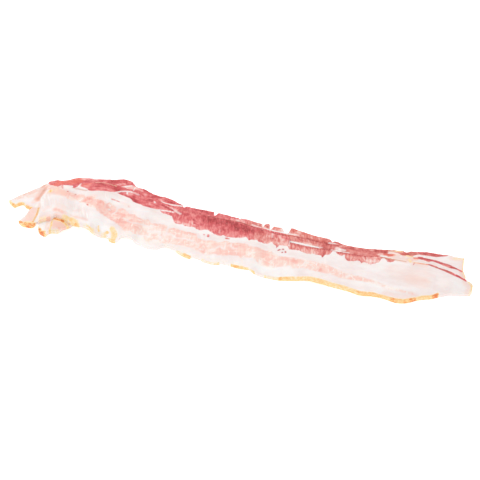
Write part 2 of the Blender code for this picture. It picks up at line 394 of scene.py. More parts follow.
def drawn_out(tree, place, scale, slant=0.0):
    """Coordinates squeezed by those scales, so that a pattern runs long where one is small. The
    slant turns the pattern from across the rasher towards its length, in degrees."""
    turned = put(tree, "ShaderNodeMapping", {
        "Vector": place, "Rotation": (0.0, 0.0, math.radians(-slant))}).outputs[0]
    return put(tree, "ShaderNodeMapping", {"Vector": turned, "Scale": scale}).outputs[0]


def noise(tree, place, scale, detail=3.0, roughness=0.55, distortion=0.0):
    """Clouds with that many to a millimetre."""
    return put(tree, "ShaderNodeTexNoise", {
        "Vector": place, "Scale": scale, "Detail": detail, "Roughness": roughness,
        "Distortion": distortion}).outputs["Fac"]


FIBRE_SLANT = 14  # degrees, of the fibres that run across a rasher
WIDEST_SWING = 3.2  # millimetres, of a ragged edge that wanders by 1


def ragged_edge_group():
    """Turns a distance inside an outline into a mask whose edge wanders and is a little soft."""
    group, inlet, outlet = new_group("ragged_edge", {
        "Distance": 0.0, "Place": None, "Pitch": 0.5, "Wander": 1.0, "Softness": 0.4}, ["Mask"])
    swing = noise(group, inlet["Place"], inlet["Pitch"], detail=4.0, roughness=0.6)
    swing = maths(group, "SUBTRACT", swing, 0.5)
    swing = maths(group, "MULTIPLY", swing,
                  maths(group, "MULTIPLY", inlet["Wander"], WIDEST_SWING))
    moved = maths(group, "ADD", swing, inlet["Distance"])
    low = maths(group, "MULTIPLY", inlet["Softness"], -1.0)
    group.links.new(ranged(group, moved, low, inlet["Softness"]), outlet.inputs["Mask"])
    return group


def muscle_group():
    """Bundles of muscle fibre, that run across the rasher or along it: a tone from 0 to 1, a
    height, and bright flecks between them: flecks of fat, which also stand in as painted glints."""
    group, inlet, outlet = new_group("muscle_fibres", {"Place": None, "Along": 0.0},
                                     ["Tone", "Height", "Fleck_and_glint"])

    def pattern(scales, slant, pitch, **texture):
        return noise(group, drawn_out(group, inlet["Place"], scales, slant), pitch, **texture)

    across = pattern((1.0, 0.2, 0.5), FIBRE_SLANT, 0.95, roughness=0.6, distortion=0.5)
    along = pattern((0.16, 1.0, 0.5), -6, 0.8, roughness=0.6, distortion=0.5)
    fibres = put(group, "ShaderNodeMix", {0: inlet["Along"], 2: across, 3: along}).outputs[0]
    bundles = pattern((1.0, 0.6, 0.5), FIBRE_SLANT, 0.3, detail=2.0)
    tone = maths(group, "MULTIPLY_ADD", fibres, 0.55, maths(group, "MULTIPLY", bundles, 0.45))
    fleck_and_glint = pattern((1.0, 0.55, 0.6), FIBRE_SLANT, 1.15, detail=2.0, roughness=0.5)
    group.links.new(ranged(group, tone, 0.33, 0.67), outlet.inputs["Tone"])
    group.links.new(fibres, outlet.inputs["Height"])
    group.links.new(ranged(group, fleck_and_glint, 0.6, 0.76), outlet.inputs["Fleck_and_glint"])
    return group


def marbling_group():
    """Soft pink lean shot with fat: broad patches, fine fibres, and thin broken veins."""
    group, inlet, outlet = new_group("marbling", {"Place": None, "Pitch": 0.2, "Width": 0.05},
                                     ["Vein", "Patch"])
    place = inlet["Place"]
    drift = put(group, "ShaderNodeTexNoise", {"Vector": place, "Scale": 0.3, "Detail": 2.0})
    bend = put(group, "ShaderNodeVectorMath", {0: drift.outputs["Color"], "Scale": 4.0},
               operation="SCALE").outputs[0]
    bent = put(group, "ShaderNodeVectorMath", {0: place, 1: bend}, operation="ADD").outputs[0]
    cells = put(group, "ShaderNodeTexVoronoi", {
        "Vector": drawn_out(group, bent, (0.8, 1.2, 0.3), 20), "Scale": inlet["Pitch"]},
        feature="DISTANCE_TO_EDGE").outputs["Distance"]
    broken = ranged(group, noise(group, place, 0.25), 0.4, 0.62)
    vein = maths(group, "MULTIPLY", ranged(group, cells, 0.0, inlet["Width"], 1.0, 0.0), broken)
    patch = noise(group, drawn_out(group, bent, (0.7, 1.0, 0.4), FIBRE_SLANT), 0.22, roughness=0.6)
    fibres = noise(group, drawn_out(group, place, (1.0, 0.16, 0.5), FIBRE_SLANT), 0.7, detail=2.0)
    patch = maths(group, "MULTIPLY_ADD", patch, 0.7, maths(group, "MULTIPLY", fibres, 0.3))
    group.links.new(vein, outlet.inputs["Vein"])
    group.links.new(ranged(group, patch, 0.34, 0.66), outlet.inputs["Patch"])
    return group


def fat_group():
    """Back fat: soft clouds, the small lobules that it is built of, and creases where it is
    pressed together."""
    group, inlet, outlet = new_group("fat_grain", {"Place": None}, ["Cloud", "Lobule", "Crease"])
    place = inlet["Place"]
    cloud = noise(group, drawn_out(group, place, (0.6, 1.0, 0.5)), 0.13, detail=4.0, roughness=0.6)
    lobule = put(group, "ShaderNodeTexVoronoi", {"Vector": place, "Scale": 0.9},
                 feature="SMOOTH_F1").outputs["Distance"]
    crease = noise(group, drawn_out(group, place, (1.0, 0.09, 0.3), 24), 0.75, detail=2.0,
                   roughness=0.6)
    group.links.new(ranged(group, cloud, 0.35, 0.68), outlet.inputs["Cloud"])
    group.links.new(lobule, outlet.inputs["Lobule"])
    group.links.new(ranged(group, crease, 0.4, 0.62), outlet.inputs["Crease"])
    return group


def film_group():
    """Brine and melted fat on the cut face: how wet it is, from place to place."""
    group, inlet, outlet = new_group("moist_film", {"Place": None}, ["Wet"])
    wet = noise(group, drawn_out(group, inlet["Place"], (0.7, 1.0, 0.6)), 0.3)
    group.links.new(ranged(group, wet, 0.35, 0.65), outlet.inputs["Wet"])
    return group


RAGGED, MUSCLE, MARBLING = ragged_edge_group(), muscle_group(), marbling_group()
FAT_GRAIN, FILM = fat_group(), film_group()
STUDIO_BRIGHTNESS = 1.17  # light on the upper face, where 1 shows a colour as it is


def seen_as(red, green, blue):
    """The base colour that shows as these values of 0 to 255 under the studio's light."""
    return tuple((((c / 255) + 0.055) / 1.055) ** 2.4 / STUDIO_BRIGHTNESS
                 for c in (red, green, blue)) + (1.0,)


def tones(*stops):
    """The stops of a colour ramp, each given as a place and a colour as it is seen."""
    return [(place, seen_as(*colour)) for place, *colour in stops]


LEAN = tones((0.0, 170, 34, 40), (0.28, 208, 74, 78), (0.52, 226, 104, 106),
             (0.78, 242, 146, 143), (1.0, 249, 200, 194))
DRIED_LEAN = tones((0.0, 150, 46, 30), (0.5, 214, 128, 108), (1.0, 246, 206, 188))
STREAKY = tones((0.0, 245, 168, 155), (0.35, 250, 200, 188), (0.68, 251, 220, 208),
                (1.0, 252, 241, 235))
FAT = tones((0.0, 236, 216, 212), (0.5, 247, 235, 232), (1.0, 252, 248, 246))
# the skin's amber, which also colours painted shade in two creases of the middle rasher
SMOKED = tones((0.1, 253, 238, 214), (0.42, 254, 220, 163), (0.7, 253, 195, 125),
               (0.87, 251, 168, 100), (1.0, 234, 130, 70))
PEACH_FAT, PEACH_LEAN = seen_as(250, 192, 170), seen_as(240, 112, 84)
# flecks in the lean are fat and also painted glints; the pale colour is bare fat and gristle, and
# also painted highlight on the backs of folds; the pressed grey is fat between lobules, and also
# painted shade in the creases of pleats; the crease shadow colour is painted shadow
FLECK_AND_GLINT, GRISTLE_AND_HIGHLIGHT = STREAKY[0][1], seen_as(253, 246, 242)
PRESSED_FAT_AND_CREASE_SHADE, CREASE_SHADOW = seen_as(240, 222, 216), seen_as(216, 148, 124)

# how strongly the patterns show
FAT_VARIES, STREAK_VARIES, MUSCLE_VARIES = 0.45, 0.6, 0.55
LOBULES_SHOW, CREASE_SHADE_SHOWS, VEINS_SHOW, FLECKS_AND_GLINTS_SHOW, PEACH_ON_LEAN = 0.12, 0.75, 0.5, 0.4, 0.8
SPECKS_IN_SMOKE, CLOUDS_IN_SMOKE, SMOKE_PATCHINESS = 2.6, 0.6, 0.8
SMOKE_SHOWS_FROM, SMOKE_COVERS_FROM = 0.04, 0.35
LOBULE_RELIEF, CREASE_RELIEF = 0.35, -0.8


def ramp(tree, value, stops):
    """A colour ramp with its stops at the places given."""
    made = put(tree, "ShaderNodeValToRGB", {"Fac": value})
    while len(made.color_ramp.elements) < len(stops):
        made.color_ramp.elements.new(0.5)
    for element, (place, colour) in zip(made.color_ramp.elements, stops):
        element.position, element.color = place, colour
    return made.outputs["Color"]


def mixed(tree, share, under, over):
    """One colour over another, as far as the share says."""
    return put(tree, "ShaderNodeMix", {"Factor": share, 6: under, 7: over},
               data_type="RGBA").outputs[2]


def pork_material(name, shift):
    """Raw cured pork, cut across: fat, streaky lean, red muscle and smoked rind. The shift moves
    the patterns, so that one slice's don't run on into the next."""
    material = bpy.data.materials.new(name)
    material.use_nodes = True
    tree = material.node_tree
    shader = tree.nodes["Principled BSDF"]
    place = put(tree, "ShaderNodeMapping", {
        "Vector": put(tree, "ShaderNodeTexCoord").outputs["Object"],
        "Location": shift, "Scale": (1 / MM, 1 / MM, 1 / MM)}).outputs[0]

    def kept(attribute):
        return put(tree, "ShaderNodeAttribute", attribute_name=attribute).outputs["Fac"]

    def grouped(kind, **values):
        return put(tree, "ShaderNodeGroup", values, node_tree=kind).outputs

    def times(a, b):
        return maths(tree, "MULTIPLY", a, b)

    def times_plus(a, b, c, clamp=False):
        return maths(tree, "MULTIPLY_ADD", a, b, c, clamp)

    toothed = drawn_out(tree, place, (1.0, 0.2, 0.5), FIBRE_SLANT)
    in_muscle = grouped(RAGGED, Distance=kept("muscle"), Place=toothed, Pitch=0.55,
                        Wander=kept("fringe"), Softness=0.45)["Mask"]
    in_streak = grouped(RAGGED, Distance=kept("streak"), Place=place, Pitch=0.45, Wander=0.5,
                        Softness=0.8)["Mask"]
    muscle = grouped(MUSCLE, Place=place, Along=kept("along"))
    marbling = grouped(MARBLING, Place=place, Pitch=0.19, Width=0.065)
    fat = grouped(FAT_GRAIN, Place=place)
    wet = grouped(FILM, Place=place)["Wet"]
    specks = noise(tree, place, 0.7, roughness=0.6)
    shade, peach, wrinkle, smoke = kept("shade"), kept("peach"), kept("wrinkle"), kept("smoke")

    def around(value, spread):
        """The drawn shade, varied by a pattern."""
        return times_plus(maths(tree, "SUBTRACT", value, 0.5), spread, shade, True)

    fat_colour = ramp(tree, around(fat["Cloud"], FAT_VARIES), FAT)
    fat_colour = mixed(tree, times(fat["Lobule"], LOBULES_SHOW), fat_colour, PRESSED_FAT_AND_CREASE_SHADE)
    # painted shade: the fat is greyer in the creases of its pleats
    crease_shade = times(times(fat["Crease"], wrinkle), CREASE_SHADE_SHOWS)
    fat_colour = mixed(tree, crease_shade, fat_colour, PRESSED_FAT_AND_CREASE_SHADE)
    fat_colour = mixed(tree, peach, fat_colour, PEACH_FAT)
    streak_tone = times_plus(marbling["Vein"], VEINS_SHOW,
                             around(marbling["Patch"], STREAK_VARIES), True)
    streak_colour = ramp(tree, streak_tone, STREAKY)
    muscle_tone = around(muscle["Tone"], MUSCLE_VARIES)
    muscle_colour = mixed(tree, kept("dried"), ramp(tree, muscle_tone, LEAN),
                          ramp(tree, muscle_tone, DRIED_LEAN))
    # bright flecks in the lean: fat, and painted glints on the wet fibre
    muscle_colour = mixed(tree, times(muscle["Fleck_and_glint"], FLECKS_AND_GLINTS_SHOW), muscle_colour, FLECK_AND_GLINT)
    muscle_colour = mixed(tree, times(peach, PEACH_ON_LEAN), muscle_colour, PEACH_LEAN)
    colour = mixed(tree, in_streak, fat_colour, streak_colour)
    colour = mixed(tree, in_muscle, colour, muscle_colour)
    # pale strokes: bare fat and gristle, and painted highlight on the backs of folds
    colour = mixed(tree, kept("pale"), colour, GRISTLE_AND_HIGHLIGHT)
    # the skin's amber, and in two creases of the middle rasher painted shade in the same amber
    blotch = times_plus(maths(tree, "SUBTRACT", specks, 0.5), SPECKS_IN_SMOKE,
                        times_plus(fat["Cloud"], CLOUDS_IN_SMOKE, -CLOUDS_IN_SMOKE / 2))
    patchy = times_plus(blotch, times(smoke, SMOKE_PATCHINESS), smoke, True)
    colour = mixed(tree, ranged(tree, patchy, SMOKE_SHOWS_FROM, SMOKE_COVERS_FROM), colour,
                   ramp(tree, patchy, SMOKED))
    colour = mixed(tree, kept("dim"), colour, CREASE_SHADOW)
    tree.links.new(colour, shader.inputs["Base Color"])

    # wet cut meat: glossier, and with more of a film over it, where the brine stands
    tree.links.new(times_plus(wet, -0.16, 0.52), shader.inputs["Roughness"])
    tree.links.new(times_plus(wet, 0.18, 0.04), shader.inputs["Coat Weight"])
    shader.inputs["Coat Roughness"].default_value = 0.22
    shader.inputs["IOR"].default_value = 1.42
    shader.inputs["Subsurface Weight"].default_value = 0.15
    shader.inputs["Subsurface Radius"].default_value = (1.0, 0.45, 0.3)
    shader.inputs["Subsurface Scale"].default_value = 0.6 * MM
    height = times_plus(muscle["Height"], in_muscle, times(fat["Lobule"], LOBULE_RELIEF))
    height = times_plus(fat["Crease"], times(wrinkle, CREASE_RELIEF), height)
    bump = put(tree, "ShaderNodeBump", {"Height": height, "Strength": 0.5, "Distance": 0.25 * MM})
    tree.links.new(bump.outputs["Normal"], shader.inputs["Normal"])
    return material


back_meat = Meat(
    muscle_edge=[
        (-160, 60), (-140.6, 60), (-140, 28.4), (-137.4, 23.8), (-133.5, 21.4), (-130, 19),
        (-126, 12), (-60, 12), (0, 8), (60, 4), (92, 4), (94.4, 9.2), (97, 9.6), (101, 8.8),
        (103, 6), (108, 6.6), (110.6, 9.6), (113, 11), (123, 11), (126.4, 12.2), (130, 13.6),
        (132, 20), (134, 60), (150, 60),
    ],
    muscle_bits=[
        (0.8, (113, 7.8), (115, 8.2)),
        (0.45, (117, 8), (124, 7), (127.6, 5.8), (130, 5), (134, 3.2)),
    ],
    gristle=[
        (0.5, (-141, 27.4), (-137.8, 23.4)), (0.5, (-117.4, 24), (-116.6, 27.6)),
        (0.55, (-88.6, 29.8), (-86.5, 32), (-83.6, 34.6)), (0.35, (-81, 30), (-80.8, 34)),
    ],
    streak_top=[(-120, 10), (-60, 6), (0, 2), (60, -4), (110, -4)],
    streak_foot=[(-120, 0), (-60, -2), (0, -6), (60, -10), (110, -8)],
    streak_bits=[(1.4, (-153.6, 5.6), (-149.4, 12)), (1.2, (-137.4, 21), (-134.4, 18.4))],
    seams=[],
    fringe=[(-160, 0.2), (150, 0.3)],
    shades=[
        # the tip, and the fold beside it
        (14, 0.2, (-150, 6), (-142, 8)), (3, 0.12, (-137, 26), (-131, 22)),
        (4, 0.1, (-129, 24), (-123, 25)),
        # the lean edge, from the left
        (1.6, 0.28, (-127, 26.8), (-119.6, 33.2), (-115, 34.2), (-108, 33.8)),
        (3, 0.1, (-124, 30), (-117, 32.6)), (1.6, -0.22, (-120.4, 24), (-118.6, 27)),
        (2, -0.1, (-110, 31.6), (-104, 32.6)), (3.2, -0.15, (-98, 31), (-93, 33), (-89.6, 36.6)),
        (1.4, 0.4, (-91.6, 30.6), (-88, 34)), (2.6, 0.35, (-85.6, 31), (-82, 32.6)),
        (2.2, 0.3, (-84, 34), (-79, 33.4), (-76, 33)), (2.2, 0.15, (-79, 32.4), (-75, 31)),
        (2, -0.08, (-74, 33.6), (-69, 32)), (2.2, 0.12, (-72, 29.6), (-69, 30)),
        (1.8, -0.4, (-67, 29), (-62.4, 30)), (1.8, 0.35, (-62, 27.6), (-58, 27)),
        (1.3, 0.35, (-59, 25), (-49, 23.6)), (1.6, -0.2, (-58, 27.6), (-47, 25.6)),
        (1.4, 0.12, (-43, 24.4)), (2, -0.25, (-38, 24.4), (-25, 21.4)),
        (2.4, 0.25, (-10, 18.6), (-7, 18)), (5, 0.2, (-4, 18.4), (9, 16)),
        (1.2, 0.25, (11.6, 15.8), (15.6, 13.6)), (1.6, -0.1, (12.6, 17), (14, 15.6)),
        (1.6, -0.15, (18.6, 16.6), (21, 16)), (3.4, 0.35, (19, 15.4), (24, 14.6)),
        (1, 0.3, (23.6, 17), (25, 14)), (1.6, -0.2, (30, 16.4), (32.6, 16)),
        (1.1, 0.3, (31, 12.4), (34, 12.6)), (5, 0.16, (32, 14.6), (48, 12.6)),
        (1, 0.25, (33, 15.6), (35.6, 15.2)), (0.8, 0.4, (37.4, 13), (38.4, 12)),
        # the first stroke below is painted shadow: a dark line just behind the middle rasher's cut
        # edge
        (1.3, -0.28, (42, 10), (52, 9), (61, 7.2)), (0.8, 0.35, (43.4, 12), (44.4, 11.2)),
        (0.9, 0.2, (47.6, 12.4), (49.4, 12)), (1.4, 0.4, (61, 8.8)), (1.6, 0.4, (63.6, 7.2)),
        (1.2, 0.25, (65, 8.6), (67, 8.6)), (1.6, -0.15, (67.4, 6.6), (72, 6.4)),
        (1, 0.25, (72.6, 7.8), (74.4, 8)), (2.4, -0.12, (76, 7.6), (80, 7.4)),
        (1.2, 0.3, (82, 8), (84, 8.2)), (1.6, -0.2, (86, 8), (92, 8.6)),
        (1.4, 0.15, (98, 10.4), (102, 10.6)), (1.4, -0.15, (103.6, 9.4), (105.6, 9.6)),
        (2, -0.1, (107.4, 10), (110, 11)),
        (0.8, -0.3, (113, 7.8), (118, 8.2), (124, 7), (130, 5), (134, 3.4)),
        (1.6, -0.2, (113.4, 12.6), (120, 13.4), (127, 13.6)),
    ],
    along=[
        (12, 0.8, (-120, 30), (-60, 26)), (6, 0.6, (60, 8), (100, 8)),
        (4, 1, (107, 10), (131, 14)),
    ],
    wrinkle=[(4, 0.7, (-150, 10), (-142, 12))],
    dried=[(9, 0.4, (6, 16), (30, 14), (60, 9), (105, 10)), (3, 0.3, (108, 10), (130, 14))],
    peach=[
        # the tip and the fold beside it, and the warm places along the lean edge
        (2.6, 0.5, (-154, 6), (-149, 12.6), (-145, 17)), (4.5, 0.25, (-151, 9), (-145, 12)),
        (2, 0.4, (-144.6, -0.4), (-142, -1.6)), (1.6, 0.6, (-142.8, 24), (-140.4, 27)),
        (2.6, 0.35, (-140.6, 8), (-141.4, 4)), (4, 0.55, (-140.8, 22), (-139.8, 14), (-139.4, 8)),
        (2, 0.3, (-139, 6), (-139.2, 17)), (3.4, 0.5, (-137.4, 21.4), (-133, 19)),
        (2.4, 0.4, (-137, 27)), (5, 0.7, (-131, 24), (-124, 27), (-120, 31)),
        (3, 0.3, (19, 16), (24, 15)), (5, 0.2, (29, 16), (40, 14), (52, 11)),
        (3, 0.35, (96, 9), (103, 9)), (4, 0.35, (134, 12), (139, 12)),
        (3, 0.25, (141, 8), (141.6, 2)),
    ],
    smoke=[
        # the rim of the tip, the hidden rind, and the browned places at the right
        (1.7, 0.38, (-158, 2.2), (-155.2, -0.7), (-152, -3)),
        (2.2, 0.24, (-153.4, -1.4), (-151.8, -2.8), (-149.6, 1)),
        (1.4, 0.4, (-150, 0), (-148, 1.8), (-146.4, 0.4)),
        (2.2, 0.8, (-144, -2), (-142, -2.8), (-139.5, -3)),
        (1.6, 0.5, (-139, -3.6), (-133, -9), (-60, -8), (20, -17), (80, -20), (142, -9)),
        (0.8, 0.4, (93.6, 10.2), (98, 11), (102, 11.4)), (1, 0.5, (105.6, 7.8), (109.6, 6.8)),
        (2.4, 0.2, (135, 11.4), (139, 12.6)), (1.3, 0.5, (140.9, 13.4), (142, 0.4)),
    ],
    pale=[
        # the tip, and the fold beside it, whose edge has painted highlight; then bare fat along
        # the lean edge
        (1.5, 0.6, (-149, 8.6), (-146.6, 6)), (1.2, 0.6, (-138, 8), (-137.2, 13)),
        (1.1, 0.85, (-60, 25.4), (-54.6, 24.6), (-46, 25)),
        (1, 0.7, (4, 15.9), (8.6, 14.2), (11.4, 13.6)),
        (1.1, 0.9, (11.6, 13.6), (20.4, 12.7), (25.8, 12.3)),
        (1, 0.5, (12.4, 13.9), (16, 13), (20, 12.6)), (0.8, 0.5, (15.4, 18), (16, 14)),
        (1.8, 0.5, (23.6, 16.4), (25, 13.6)), (1, 0.7, (25.8, 12.2), (29.2, 11.9), (34.8, 12.2)),
        (2, 0.9, (26.2, 12.6), (28.4, 12.4)), (0.9, 0.8, (55.8, 8.8), (59.6, 9.2)),
        (0.8, 0.5, (94, 9), (99.6, 8.6)),
    ],
    dim=[
        (1.4, 0.2, (-149.6, 13), (-150, 11)), (1.6, 0.4, (-141, 24.8), (-142, 22)),
        (3.2, 0.12, (-140.8, 9), (-140.8, 13), (-140.4, 19)),
        (1.8, 0.34, (-139.4, 8), (-139.4, 18)), (2, 0.3, (-139.4, 20.6), (-138.8, 18.2)),
    ],
)
back = lay_slice(BACK, [])
drawn_on(back, [], back_meat)
back.data.materials.append(pork_material("pork_back", (0, 0, 0)))
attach(back, "root")
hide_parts("rasher_back")


# ---------------------------------------------------------------------------------------------
# The middle rasher. The same belly, one slice on: it lies 10 to 15 mm nearer than the one below,
# and its ruffled left end splays out into a tip and two lobes with smoked rims.

MIDDLE = Rasher(
    name="rasher_middle",
    rind=[
        (-143, -19), (-138.5, -22), (-132.5, -22), (-130.3, -18), (-129, -19), (-127, -25),
        (-123.5, -28), (-120.5, -29), (-119.2, -25.6), (-116.4, -24.9), (-113.6, -24.5),
        (-110.8, -21.4), (-109.2, -19.5), (-105, -15.5), (-60, -15), (-20, -20), (20, -24),
        (40, -26), (100, -28), (120, -23), (144, -13),
    ],
    lean=[
        (-143, 8), (-131, 13), (-125, 17.5), (-112, 22), (-101, 25.5), (-88, 27), (-78, 26.5),
        (-62, 23), (-44, 19.5), (-10, 14), (8, 11), (30, 8), (52, 5), (70, 2.5), (80, 3),
        (103, 4.5), (109.4, 3.8), (112, 4.6), (115.4, 5.2), (120, 5), (132, 1), (144, -4),
    ],
    left_end=[(0, -143), (0.28, -141), (0.5, -138.5), (1, -133)],
    right_end=[(0, 143), (0.5, 144.5), (1, 142.5)],
    nicks=[],
)
middle_meat = Meat(
    muscle_edge=[
        (-145, 60), (-124, 60), (-118, 16), (-60, 12), (0, 4), (31, 1.7), (40, 1), (45, 0.4),
        (50, -0.2), (52.4, -1.4), (54, -3), (71.4, -6), (86, -6), (89, -1), (90.4, 1), (95, 0.8),
        (98.6, 3.4), (100, 5), (109.4, 5), (110.6, 2.8), (114.6, 2.8), (117.4, 2.4), (119.8, 1.4),
        (122, 2.6), (127.2, 1), (129.6, -0.6), (132.4, -2), (134.6, -2.8), (137, -2.8),
        (142.2, -4.6), (143.6, 10), (150, 60),
    ],
    muscle_bits=[],
    gristle=[],
    streak_top=[(-110, 6), (-60, 2), (0, -4), (60, -12), (110, -14)],
    streak_foot=[(-110, -4), (-60, -8), (0, -12), (60, -20), (110, -20)],
    streak_bits=[(1.2, (-121.4, -20.4), (-120.4, -25))],
    seams=[],
    fringe=[(-145, 0.2), (20, 0.4), (40, 0.7), (60, 0.6), (100, 0.4), (150, 0.25)],
    shades=[
        # a broad lighter tone at the tip, then painted shadow, a thin dark line along the cut lean
        # edge; the rest are tones along the lean edge
        (14, 0.15, (-138, -10), (-124, -24)), (0.9, -0.4, (30, 8), (38, 7), (52, 5), (61, 3.8)),
        (3, 0.2, (31, 6.4), (35, 5)), (1.6, 0.2, (34, 2.4), (50, 1.2)),
        (1, -0.3, (36.4, 6.4), (37.4, 5)), (3, 0.1, (40, 3), (50, 2.4)),
        (2.4, -0.12, (52, 4), (58, 2.6)), (2, -0.2, (55, -0.6), (58, -1.4)),
        (2.6, 0.35, (63, 2), (64, -1.4)), (2, 0.12, (74, 0), (88, 1)),
        (1.6, 0.3, (88.6, 1.8), (90.6, 2.4)), (1.2, 0.3, (91, 2.4), (93, 2)),
        (2, -0.15, (93, 3.6), (97, 3.4)), (1.6, 0.15, (112, 3.4)),
        (1.2, -0.25, (114, 4.6), (119, 4.6), (124, 3.6), (130, 1.4)),
        (1.4, 0.3, (118.6, 1.8), (120.6, 2.6)), (1.6, 0.2, (129.6, -0.6), (132.6, -1.4)),
        (1.4, -0.3, (135, -1.2), (137.4, -2.6)),
    ],
    along=[(5, 0.7, (66, 1), (98, 3)), (4, 1, (110, 3), (124, 3), (140, -3))],
    wrinkle=[(4, 0.6, (-138, -6), (-135, -14))],
    dried=[(9, 0.4, (32, 4), (60, 1), (100, 2)), (4, 0.3, (112, 2), (136, -2))],
    peach=[
        # the tip, the two lobes, and the warm places along the lean edge
        (5.5, 0.55, (-137, -8), (-137, -18)), (3, 0.3, (-134.4, -2), (-133, -4)),
        (3, 0.35, (-124, -28), (-122, -26)), (2, 0.5, (-121.6, -20.6), (-120, -25.4)),
        (5.5, 0.75, (-116.5, -20), (-111, -19)), (1.2, 0.6, (-113.3, -22.9)),
        (3, 0.35, (29, 6.8), (31, 6)), (3, 0.6, (94, 3), (97, 3)), (5, 0.3, (99, 2), (109, 2)),
        (3, 0.5, (108.4, 0)), (2.4, 0.6, (112, 2.8)), (3, 0.5, (141.6, -4), (143.6, -9)),
    ],
    smoke=[
        # the rims of the tip and of the two lobes, painted shade in two creases under the rasher
        # above, the hidden rind, and the right end
        (1.2, 0.45, (-142.8, -19), (-139.4, -21.6)), (1.3, 0.85, (-141.4, -19.2), (-140, -19.8)),
        (2.2, 0.35, (-137.5, -18.6), (-134, -19)), (2.7, 0.8, (-137, -20.8), (-134, -21.4)),
        # painted shade: a red-orange line in the crease between the tip and the rasher above
        (1.1, 0.7, (-133.8, -5.6), (-133, -9), (-132.4, -13), (-133.2, -17.4)),
        (1.4, 0.95, (-132, -19.4), (-131.6, -21)), (1.8, 0.35, (-128, -23.4), (-126.6, -24.6)),
        (1.8, 0.75, (-125.9, -25.2), (-124.8, -27)), (1.3, 0.95, (-123.4, -28), (-122, -28.6)),
        (2, 0.8, (-122.6, -26.6)), (2, 0.4, (-121, -28.6)),
        (1, 0.5, (-119.2, -19.6), (-118.8, -22), (-119, -25)),
        (1.2, 0.3, (-119, -25.4), (-113.4, -24.2)),
        # painted shade: red-orange in the crevice under the arch of the rasher above
        (1.3, 0.82, (-118.6, -17.6), (-116, -17.8), (-112.5, -17.4)),
        (1.3, 0.6, (-112.5, -17.6), (-108.6, -19.2)),
        (1.6, 0.5, (-106, -16), (-60, -15), (-20, -20), (40, -26), (100, -28), (120, -23),
         (144, -13)),
        (0.9, 0.35, (96, 4.6), (104, 4.7), (108, 3.8)), (1.4, 0.35, (108, 1), (109.6, -1.6)),
        (1.3, 0.35, (142.6, -4), (144.4, -9)),
    ],
    pale=[
        # the backs of the folds, white fat made brighter as painted highlight, and the fat in the
        # lean edge
        (1.5, 0.5, (-139.6, -7), (-140.4, -11)), (1.5, 0.7, (-136.4, -1.4), (-136.2, -4)),
        (1, 0.7, (-131.2, -10), (-130.4, -17)),
        (1.5, 0.7, (-128, -19.4), (-125.6, -22.4), (-121.6, -25.8), (-120.4, -27)),
        (1.1, 0.9, (32.6, 0.8), (40, 0.2), (48, -0.6)), (1, 0.5, (48, -0.6), (53, -0.4)),
        (1, 0.7, (59.6, -1.4), (70.4, -1.8)), (2.4, 0.6, (62.8, 1.2), (64, -1.2)),
        (1.6, 0.7, (64.6, 0.8), (67.4, 0.4)), (1, 0.7, (90.6, 0.6), (94, 0.8)),
        (1.2, 0.5, (102.6, 2.4)), (1, 0.5, (106, 3)),
    ],
    dim=[(1.1, 0.32, (-133.8, -5.6), (-133, -9), (-132.4, -13), (-133.2, -17.4))],
)
middle = lay_slice(MIDDLE, [BACK])
drawn_on(middle, [BACK], middle_meat)
middle.data.materials.append(pork_material("pork_middle", (40, 90, 0)))
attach(middle, "root")
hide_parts("rasher_middle")


# ---------------------------------------------------------------------------------------------
# The top rasher, whose whole face shows: dark red muscle with a fringe of fibres, a white band
# of fat, the pink streaky band, more fat, and the rind, pale at the left and amber at the right.

FRONT = Rasher(
    name="rasher_front",
    rind=[
        (-129, -20), (-121, -19), (-117, -16.5), (-112, -16.7), (-107.5, -17.2), (-103, -18.8),
        (-99, -19.3), (-95, -19.5), (-92, -20.6), (-86, -21.6), (-83.5, -21), (-81, -21.6),
        (-80.2, -22.9), (-78, -23.9), (-75.2, -24.1), (-72.5, -20.5), (-67, -20), (-61, -22.9),
        (-54, -24.7), (-48.6, -24.3), (-43, -21.7), (-38, -22.9), (-32, -25.9), (-25.4, -28.5),
        (-24.2, -27.4), (-19.6, -28), (-14, -30), (-9, -30.7), (-7, -30.4), (-4, -29), (6, -30.2),
        (10, -31.4), (14, -32.3), (18, -34.2), (28, -35.9), (36.5, -35.5), (42, -34.1),
        (52, -32.4), (58, -32.9), (66, -34.4), (74, -35.2), (80, -36.5), (84, -37.6), (88, -37.6),
        (92, -36.9), (100, -37.8), (107, -39.6), (112, -38.5), (121, -32.8), (127.4, -30),
        (130.2, -28.3), (134, -27.2), (149, -21.3),
    ],
    lean=[
        (-137, 5), (-132, 8), (-127.5, 11), (-123.5, 14.5), (-117, 14.5), (-112.5, 21),
        (-100, 22.5), (-79, 22.7), (-66, 19.5), (-44, 14.5), (-20, 11.3), (-3, 10.7), (13, 5.1),
        (22, 4), (31.5, 3.2), (32.8, -3), (60, -5), (82, -5.5), (90, -3.5), (105, -4), (121, -3.5),
        (131, -7.5), (143, -12.6), (146.2, -13.2), (149, -11.8),
    ],
    left_end=[(0, -128.5), (0.35, -130.5), (0.65, -133.5), (0.87, -134.8), (1, -131)],
    right_end=[(0, 149.1), (0.3, 149.8), (0.5, 149.8), (0.85, 149.5), (1, 148.4)],
    nicks=[Nick(109.5, 3.0, 0.8, 1.5)],
)
